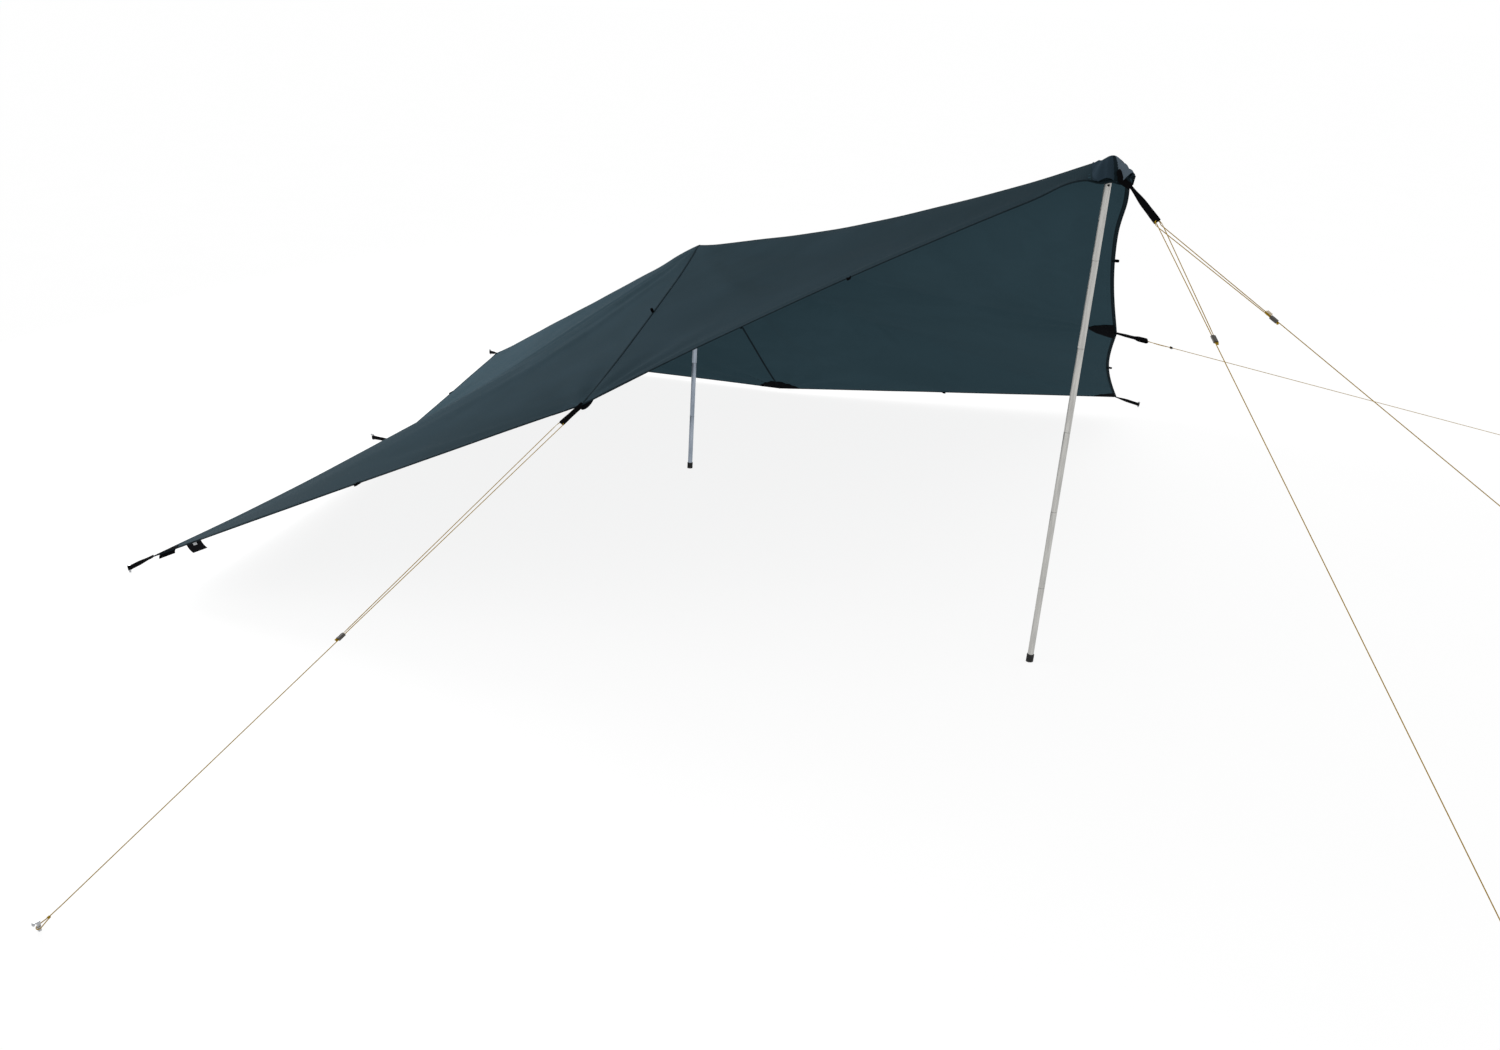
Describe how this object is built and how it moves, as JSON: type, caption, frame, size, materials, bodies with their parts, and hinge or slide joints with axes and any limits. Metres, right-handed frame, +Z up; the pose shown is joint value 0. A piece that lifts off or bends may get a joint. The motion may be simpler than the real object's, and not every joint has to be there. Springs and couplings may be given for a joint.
{
  "type": "tarp shelter",
  "caption": "Square fabric tarp pitched over a tall front pole and a shorter centre pole, with webbing loops, guylines with runners, and ground pegs.",
  "frame": {"origin": "middle of the flat sole of the centre pole's foot, on the ground", "axes": "+X horizontal, towards the raised front corner; +Y horizontal, towards the shelter's right-hand low corner when seen from the rear; +Z up"},
  "size_m": [8.9947, 8.6913, 2.0365],
  "materials": {
    "fabric": "coated slate blue-grey fabric, slight sheen",
    "reinforcement": "black coarse-woven reinforcement, matt",
    "corner_fabric": "lighter coated fabric, satin",
    "webbing": "black woven webbing, matt",
    "aluminium": "satin drawn tube",
    "rubber": "matt",
    "plastic": "moulded, fine grain",
    "cord": "braided gold cord"
  },
  "bodies": {
    "shelter": {"centre_patch": "reinforcement", "centre_seam": "fabric", "front_corner_patch": "corner_fabric", "front_guy_loop": "webbing", "front_left_guyline": "cord", "front_left_guyline_doubled_part": "cord", "front_left_guyline_peg": "aluminium", "front_panel": "fabric", "front_right_guyline": "cord", "front_right_guyline_doubled_part": "cord", "front_right_guyline_peg": "aluminium", "left_corner_patch": "reinforcement", "left_corner_peg": "aluminium", "left_corner_peg_loop": "webbing", "left_front_edge_patch": "reinforcement", "left_front_hem": "fabric", "left_guy_loop": "webbing", "left_guyline": "cord", "left_guyline_doubled_part": "cord", "left_guyline_peg": "aluminium", "left_rear_edge_patch": "reinforcement", "left_rear_edge_peg": "aluminium", "left_rear_edge_peg_loop": "webbing", "left_rear_hem": "fabric", "rear_corner_patch": "reinforcement", "rear_corner_peg": "aluminium", "rear_corner_peg_loop": "webbing", "rear_panel": "fabric", "right_corner_patch": "reinforcement", "right_corner_peg": "aluminium", "right_corner_peg_loop": "webbing", "right_front_edge_patch": "reinforcement", "right_front_hem": "fabric", "right_guy_loop": "webbing", "right_guyline": "cord", "right_guyline_peg": "aluminium", "right_rear_edge_patch": "reinforcement", "right_rear_edge_peg": "aluminium", "right_rear_edge_peg_loop": "webbing", "right_rear_hem": "fabric", "sewn_label": "reinforcement", "spare_webbing_tab": "webbing"},
    "front_pole": {"front_pole_foot": "rubber", "front_pole_section_1": "aluminium", "front_pole_section_2": "aluminium", "front_pole_section_3": "aluminium", "front_pole_section_4": "aluminium", "front_pole_section_5": "aluminium", "front_pole_section_6": "aluminium", "front_pole_tip": "plastic"},
    "centre_pole": {"centre_pole_foot": "rubber", "centre_pole_section_1": "aluminium", "centre_pole_section_2": "aluminium", "centre_pole_section_3": "aluminium", "centre_pole_section_4": "aluminium", "centre_pole_tip": "plastic"},
    "front_left_runner": {"front_left_line_runner": "plastic"},
    "front_right_runner": {"front_right_line_runner": "plastic"},
    "left_runner": {"left_line_runner": "plastic"}
  },
  "joints": [
    {"name": "front_left_runner_slide", "type": "slide", "parent": "shelter", "child": "front_left_runner", "axis": [-0.8011, 0.309, 0.5126], "range_m": [0, 0.4], "deforming": ["front_left_guyline_doubled_part"]},
    {"name": "front_right_runner_slide", "type": "slide", "parent": "shelter", "child": "front_right_runner", "axis": [-0.8059, -0.2943, 0.5137], "range_m": [0, 0.4], "deforming": ["front_right_guyline_doubled_part"]},
    {"name": "left_runner_slide", "type": "slide", "parent": "shelter", "child": "left_runner", "axis": [-0.3959, 0.8403, 0.3702], "range_m": [0, 1], "deforming": ["left_guyline_doubled_part"]},
    {"name": "front_pole_swing", "type": "hinge", "parent": "shelter", "child": "front_pole", "pos_m": [2.93343, 0, 1.99855], "axis": [0, 1, 0], "range_deg": [0, 15]},
    {"name": "centre_pole_swing", "type": "hinge", "parent": "shelter", "child": "centre_pole", "pos_m": [0.05883, 0, 1.23153], "axis": [0, 1, 0], "range_deg": [0, 15]}
  ]
}
